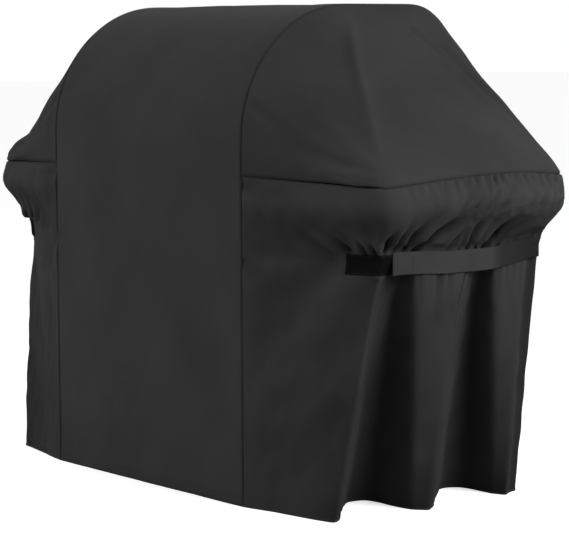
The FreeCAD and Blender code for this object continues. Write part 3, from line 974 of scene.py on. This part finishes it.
def build_hood(word, side, seed, sag, painted_shade_scale):
    base, painted_shading = hood_shape(seed, sag)
    rows = edge_steps(along(base[:, 0])[-1], 7)
    cols = edge_steps(along(base[len(base) // 2])[-1], 7)
    grid, painted_shading = refine(base, painted_shading * painted_shade_scale, rows, cols)
    sheet = grid, normals_out(grid, 0.5, 2)
    piece = shell(f"{word}_hood_cloth", sheet, side, CLOTH, ("left", "right", "top", "bottom"), painted_shading)
    dress(piece, "shell_cloth", (OXFORD, BACKING), f"{word}_hood_panel")
    return sheet


def build_skirt(word, side, seed, waist_in, painted_shade_scale):
    grid, painted_shading = skirt_shape(seed, waist_in)
    sheet = grid, normals_out(grid, 0.2, 0)
    piece = shell(f"{word}_skirt_cloth", sheet, side, CLOTH, ("left", "right", "top"), painted_shading * painted_shade_scale)
    dress(piece, "shell_cloth", (OXFORD, BACKING), f"{word}_skirt_panel")
    return sheet


# ---------------------------------------------------------------- bindings, hems and topstitching


STITCH_IN = 6.0  # from a seam to the row of topstitching beside it


def binding_section(width):
    """Section of a tape that covers the raw edges of a seam from inside, following the rolled edge."""
    distances = np.array([-0.6, 1, 2.5, 4, 6, 9, 12, 15, width - 1, width])
    return [(d, -(CLOTH + 0.7 + ROLL_DEPTH * math.exp(-((d / 3.0) ** 2)))) for d in distances]


def hem_section(turn):
    """Section of a hem: over the bottom edge from a narrow lip outside to the turned-up strip inside."""
    inside = -(CLOTH + 1.2)
    return [
        (4.0, 0.55), (3.4, 0.8), (1.4, 0.9), (0.2, 0.7), (-0.7, 0.1), (-0.9, -0.8),
        (-0.5, inside), (1.0, inside - 0.4), (4.0, inside - 0.1),
        (turn / 2, inside), (turn - 3, inside), (turn, inside + 0.3),
    ]


def build_binding(name, sheet, edge, side, width, node):
    piece = shell(name, edge_strip(sheet, edge, binding_section(width)), side, 0.6)
    dress(piece, "binding_tape", (TAPE, TAPE), node)


def build_hem(name, sheet, side, node, edge="bottom"):
    piece = shell(name, edge_strip(sheet, edge, hem_section(HEM_TURN)), side, 0.5)
    dress(piece, "hem_cloth", (HEM_CLOTH, HEM_CLOTH), node)


def inset(line_and_out, start, end):
    """The part of a line between two distances from its ends."""
    line, out = line_and_out
    at = along(line)
    keep = (at >= start) & (at <= at[-1] - end)
    return line[keep], out[keep]


def build_side(word, side, hood, skirt, centre):
    """The tape, hem and topstitching of one side."""
    long_seam = line_at(centre, "right" if side > 0 else "left", STITCH_IN)
    if side < 0:
        long_seam = long_seam[0] * [-1, 1, 1], long_seam[1] * [-1, 1, 1]
    build_binding(f"{word}_shoulder_tape", skirt, "top", side, 18, f"{word}_shoulder_binding")
    build_hem(f"{word}_skirt_hem_fold", skirt, side, f"{word}_skirt_hem")
    rows = [long_seam]
    rows += [inset(line_at(hood, edge, STITCH_IN), 8, 8) for edge in ("top", "right", "bottom")]
    rows.append(inset(line_at(skirt, "bottom", HEM_TURN - 3), 4, 4))
    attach(stitching(f"{word}_topstitching", rows, side), "cover")


# ---------------------------------------------------------------- the straps and their hook and loop tapes

STRAP_THICK = 1.5
STRAP_FRONT = TIP_LOW[1] - FRONT_AT  # the free end
SWING_AT = STRAP_HIGH[1] - FRONT_AT  # where the strap leaves its sewn end
PEEL_AT = STRAP_LOW[1] - FRONT_AT  # where the hooks end
LAP_AT = lerp(PEEL_AT, SWING_AT, 0.49)  # the strap is sewn together from two lengths here
LAP = 12.0  # and they overlap by this much
FOLD = 13.0  # the free end is turned under by this much and sewn down
ANCHOR_END = ANCHOR_LOW[0]


def strap_path(move_in):
    """The strap's outer face in plan, from the free end round the back corner to its sewn end."""
    corners = [
        (710.6, STRAP_FRONT), (711.8, 232), (711.8, 470),
        (709.6, SWING_AT - 12), (704.4, 608.5), (ANCHOR_END, 614.6),
    ]
    steps = [int(math.dist(a, b) / 2) for a, b in zip(corners, corners[1:])]
    path = run_through(corners, steps, 14)
    path[:, 0] -= move_in
    return path


def strap_sheet(path, start, end, lift, seed):
    """A length of the strap between two distances along it. Rows go up its width, columns along it."""
    stations = np.linspace(start, end, int((end - start) / 4) + 1)
    middle = resample(path, stations)
    out = unit(resample_at(outward(path), along(path), stations))
    width = np.linspace(-1, 1, 51)
    rib = 0.10 * np.cos(2 * math.pi * width * 7.5) - 0.55 * np.abs(width) ** 40
    wave = 0.6 * ripple(np.column_stack([middle, 0 * stations]), 70, seed)
    off = rib[:, None] + (lift(stations) + wave)[None]
    grid = np.empty((len(width), len(stations), 3))
    grid[..., :2] = middle[None] + out[None] * off[..., None]
    grid[..., 2] = strap_height(middle[:, 1])[None] + width[:, None] * STRAP_WIDTH / 2
    normal = normals_of(grid)
    if normal[25, 0] @ np.array([*out[0], 0]) < 0:
        normal = -normal
    return grid, normal


def box_stitches(sheet, start, end, cross):
    """A sewn box on the strap between two shares of its length, with a cross in it if wanted."""
    rows, cols = sheet[0].shape[:2]
    a, b = start * (cols - 1), end * (cols - 1)
    low, high = 0.09 * (rows - 1), 0.91 * (rows - 1)
    corners = [(low, a), (low, b), (high, b), (high, a), (low, a)]
    if cross:
        corners += [(high, b), (high, a), (low, b)]
    runs = []
    for (i0, j0), (i1, j1) in zip(corners, corners[1:]):
        t = np.linspace(0, 1, 40)
        runs.append(sample(sheet, lerp(i0, i1, t), lerp(j0, j1, t)))
    return runs


def build_strap(word, side, move_in):
    """One strap: its front length and tip with their hooks, and its back length round to the sewn end."""
    path = strap_path(move_in)
    at = along(path)
    length = at[-1]
    lap = np.interp(LAP_AT, path[:, 1], at)
    peel = np.interp(PEEL_AT, path[: len(path) // 2, 1], at[: len(path) // 2])

    def front_lift(s):
        return 0.7 * (1 - smooth(FOLD - 1, FOLD + 1, s)) + 1.7 * smooth(lap - 16, lap - 7, s)

    def back_lift(s):
        return 0.5 * smooth(length - 12, length - 10, s)

    front = strap_sheet(path, 0, lap + LAP / 2, front_lift, 61)
    back = strap_sheet(path, lap - LAP / 2, length, back_lift, 62)
    front_piece = shell(f"{word}_strap_front", front, side, STRAP_THICK)
    # painted shade: the back length is painted darker than the front one, the more so towards the back corner
    back_y = back[0][..., 1]
    painted_shade_scale = (1 - 0.55 * smooth(440, 492, back_y)) * (1 - 0.4 * smooth(500, 590, back_y))
    back_piece = shell(f"{word}_strap_back", back, side, STRAP_THICK, painted_shading=painted_shade_scale)
    front_length = along(front[0][25])[-1]
    front_boxes = [(3, FOLD), (FOLD, peel - 3), (front_length - 10, front_length - 2.5)]
    runs = []
    for start, end in front_boxes:
        runs += box_stitches(front, start / front_length, end / front_length, False)
    sewn = stitching(f"{word}_strap_front_stitching", runs, side)
    back_length = along(back[0][25])[-1]
    runs = box_stitches(back, 1 - 46 / back_length, 1 - 4 / back_length, True)
    anchored = stitching(f"{word}_strap_back_stitching", runs, side)
    webbing = (WEBBING, WEBBING)
    dress(front_piece, "strap_webbing", webbing, f"{word}_strap", f"{word}_strap_tip", body=None)
    dress(back_piece, "strap_webbing", webbing, f"{word}_strap_anchor", body=None)
    hooks = build_hooks(word, side, front, peel / front_length)
    for piece in (front_piece, sewn, hooks):
        bend_points(side, 0.5, 26, PEEL_AT)
        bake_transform(piece)
    for piece in (back_piece, anchored):
        bend_points(side, 0.5, 40, SWING_AT)
        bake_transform(piece)


def bend_points(side, before, length, y):
    """Two points on either side of a place along the strap, in the frame's metres."""
    start = to_metres(np.array([HALF_WIDTH - 50, y + before, WAIST]), side)
    end = to_metres(np.array([HALF_WIDTH - 50, y - length, WAIST]), side)
    return tuple(start), tuple(end)


def build_hooks(word, side, strap, end_share):
    """The hook tape inside the free end: a thin woven base set with rows of small plastic hooks."""
    rows, cols = strap[0].shape[:2]
    margin = 2.5 / 240  # of the front length, at both ends of the tape
    i = np.linspace(0.05, 0.95, 24) * (rows - 1)
    j = np.linspace(margin, end_share - margin, 29) * (cols - 1)
    points, out = sample(strap, i[:, None], j[None])
    face = points - out * (STRAP_THICK + 0.15)
    base = shell(f"{word}_hook_tape_base", (face, out), side, 0.45)
    roots = (face - out * 0.4)[1:-1, 1:-1].reshape(-1, 3)
    inward = -out[1:-1, 1:-1].reshape(-1, 3)
    lean = np.array([0.0, 1.0, 0.0])
    run = [(0, 0), (0.35, 0.0), (0.62, 0.12), (0.72, 0.36), (0.55, 0.52)]  # one hook: height and overhang
    lines = np.stack([roots + inward * up + lean * over for up, over in run], axis=1)
    hooks, faces = bars(lines, np.array([0.16, 0.14, 0.13, 0.12, 0.08]), 4)
    hook_mesh = make_mesh(f"{word}_hook_rows", to_metres(hooks, side), faces)
    hook_mesh.data.materials.append(HOOK)
    return join(base, hook_mesh, "hook_tape", (HOOK, HOOK), f"{word}_hook_tape")


def join(base, extra, slot, materials, node):
    """One piece from two meshes that belong together. It isn't put on a body yet."""
    base.data.materials.clear()
    dress(base, slot, materials, node, body=None)
    with bpy.context.temp_override(active_object=base, selected_editable_objects=[base, extra]):
        bpy.ops.object.join()
    return base


def patch_face(skirt, rows, cols):
    """The loop patch's outer face, just off the skirt round its front corner."""
    grid = skirt[0]
    z_of_row = grid[:, grid.shape[1] // 2, 2]
    row = grid[np.argmin(np.abs(z_of_row - WAIST))]
    corner = np.argmax(row[:, 0] > row[:, 0].max() - 6)
    front = np.interp(PATCH_LOW[0] - 2, row[: corner + 1, 0], np.arange(corner + 1))
    side_part = np.arange(corner, corner + 60)
    back = np.interp(PEEL_AT - 8, row[side_part, 1], side_part)
    low = np.interp(-PATCH_LOW[2], -z_of_row, np.arange(len(z_of_row)))
    high = np.interp(-PATCH_HIGH[2], -z_of_row, np.arange(len(z_of_row)))
    i = np.linspace(high, low, rows)
    j = np.linspace(front, back, cols)
    points, normal = sample(skirt, i[:, None], j[None])
    return points + normal * 1.3, normal


def pile_loops(face, count):
    """Small loops of pile at random places on a face, as points and faces."""
    rows, cols = face[0].shape[:2]
    rng = np.random.default_rng(71)
    spots, up = sample(face, rng.uniform(0.6, rows - 1.6, count), rng.uniform(0.6, cols - 1.6, count))
    lean = unit(rng.normal(size=(count, 3)))
    lean = unit(lean - up * (lean * up).sum(-1, keepdims=True))
    arc = [(-0.1, -0.7), (0.45, -0.5), (0.7, 0.0), (0.45, 0.5), (-0.1, 0.7)]  # one loop: height and reach
    lines = np.stack([spots + up * height + lean * over for height, over in arc], axis=1)
    return bars(lines, np.full(5, 0.13), 3)


def build_patch(word, side, skirt):
    """The loop patch round the front corner: a brushed sheet set with small loops of pile."""
    rows, cols = 30, 76
    face = patch_face(skirt, rows, cols)
    base = shell(f"{word}_loop_patch_pile", face, side, 1.0)
    loops, faces = pile_loops(face, 2600)
    pile = make_mesh(f"{word}_loops", to_metres(loops, side), faces)
    pile.data.materials.append(LOOP)
    patch = join(base, pile, "loop_tape", (LOOP, LOOP), f"{word}_loop_patch")
    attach(patch, "cover")
    low, high, last = 2, rows - 3, cols - 3  # the stitching runs just inside the patch's edges
    edge = [(low, low), (low, last), (high, last), (high, low), (low, low)]
    t = np.linspace(0, 1, 60)
    runs = [sample(face, lerp(a[0], b[0], t), lerp(a[1], b[1], t)) for a, b in zip(edge, edge[1:])]
    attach(stitching(f"{word}_loop_patch_stitching", runs, side), "cover")


CENTRE = build_centre()
build_hem("front_hem_fold", CENTRE, 1, "front_hem", "top")
build_hem("back_hem_fold", CENTRE, 1, "back_hem")
for word in ("right", "left"):
    build_binding(f"{word}_seam_tape", CENTRE, word, 1, 20, f"{word}_seam_binding")
hem_rows = [line_at(CENTRE, edge, HEM_TURN - 3) for edge in ("top", "bottom")]
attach(stitching("centre_hem_stitching", hem_rows, 1), "cover")
# each side: which way it lies, its wrinkles' seed, how far its waist and its hood hang in, and how much
# painted shade darkens it
for word, side, seed, waist_in, sag, painted_shade_scale in (("right", 1, 21, 0, 0, 1), ("left", -1, 31, 14, 14, 0.76)):
    hood = build_hood(word, side, seed, sag, painted_shade_scale)
    skirt = build_skirt(word, side, seed + 20, waist_in, painted_shade_scale)
    build_side(word, side, hood, skirt, CENTRE)
    build_patch(word, side, skirt)
    build_strap(word, side, waist_in)


# ---------------------------------------------------------------- floor, light and camera


def build_floor():
    size = 40
    mesh = bpy.data.meshes.new("floor")
    corners = [(-size, -size, -0.001), (size, -size, -0.001), (size, size, -0.001), (-size, size, -0.001)]
    mesh.from_pydata(corners, [], [(0, 1, 2, 3)])
    floor = add_object("floor", mesh)
    material, nodes, links, bsdf = new_material("pale_floor")
    set_inputs(bsdf, {
        "Base Color": (0.9, 0.9, 0.9, 1), "Roughness": 0.9, "Specular IOR Level": 0.0,
        "Emission Color": (1, 1, 1, 1), "Emission Strength": 0.62,
    })
    # the camera sees a white floor, but it throws little light back up under the cover
    dim = nodes.new("ShaderNodeBsdfDiffuse")
    dim.inputs["Color"].default_value = (0.3, 0.3, 0.3, 1)
    choose = camera_switch(nodes, links, dim, bsdf)
    links.new(choose, nodes["Material Output"].inputs["Surface"])
    floor.data.materials.append(material)


def camera_switch(nodes, links, for_light, for_camera):
    """A shader that is one thing for the light in the scene and another for the camera."""
    path = nodes.new("ShaderNodeLightPath")
    mix = nodes.new("ShaderNodeMixShader")
    links.new(path.outputs["Is Camera Ray"], mix.inputs[0])
    links.new(for_light.outputs[0], mix.inputs[1])
    links.new(for_camera.outputs[0], mix.inputs[2])
    return mix.outputs[0]


def build_room():
    """White to the camera. Its light is brightest near the horizon."""
    world = bpy.data.worlds.new("studio")
    bpy.context.scene.world = world
    world.use_nodes = True
    nodes, links = world.node_tree.nodes, world.node_tree.links
    seen = nodes.new("ShaderNodeBackground")
    set_inputs(seen, {"Strength": 1.0, "Color": (1, 1, 1, 1)})
    fill = nodes["Background"]
    fill.inputs["Color"].default_value = (1, 1, 1, 1)
    place = nodes.new("ShaderNodeTexCoord")
    split = nodes.new("ShaderNodeSeparateXYZ")
    grade = nodes.new("ShaderNodeMapRange")
    set_inputs(grade, {"From Min": 0.0, "From Max": 0.9, "To Min": 0.86, "To Max": 0.2})
    links.new(place.outputs["Generated"], split.inputs[0])
    links.new(split.outputs["Z"], grade.inputs["Value"])
    links.new(grade.outputs[0], fill.inputs["Strength"])
    links.new(camera_switch(nodes, links, fill, seen), nodes["World Output"].inputs["Surface"])


def area_light(name, place, target, size, power):
    data = bpy.data.lights.new(name, "AREA")
    data.shape = "RECTANGLE"
    data.size = size
    data.size_y = size
    data.energy = power
    light = add_object(name, data)
    light.location = place
    light.rotation_euler = (Vector(target) - Vector(place)).to_track_quat("-Z", "Y").to_euler()


def build_camera():
    """At the front right, a little above the middle of the cover."""
    turn, lift, roll = math.radians(51.353), math.radians(5.961), math.radians(-0.299)
    distance = 5.6143
    aim = (0, 0.300 + FRONT_AT / 1000, 0.565)
    shift_right, shift_up = 0.0965, -0.0837
    back = Vector((math.sin(turn) * math.cos(lift), -math.cos(turn) * math.cos(lift), math.sin(lift)))
    right = Vector((math.cos(turn), math.sin(turn), 0))
    up = back.cross(right)
    across = right * math.cos(roll) + up * math.sin(roll)
    above = -right * math.sin(roll) + up * math.cos(roll)
    target = Vector(aim) + across * shift_right + above * shift_up
    data = bpy.data.cameras.new("camera")
    data.sensor_width = 36
    data.lens = 145.516
    data.clip_end = 200
    camera = add_object("camera", data)
    facing = Matrix((across, above, back)).transposed().to_4x4()
    camera.matrix_world = Matrix.Translation(target + back * distance) @ facing
    bpy.context.scene.camera = camera


build_floor()
build_room()
area_light("key", (4.0, 0.9, 2.5), (0.4, 0, 0.6), 1.8, 142)
area_light("front", (-2.7, -3.9, 2.0), (0, 0, 0.6), 2.4, 116)
build_camera()
bpy.context.scene.view_settings.view_transform = "Standard"
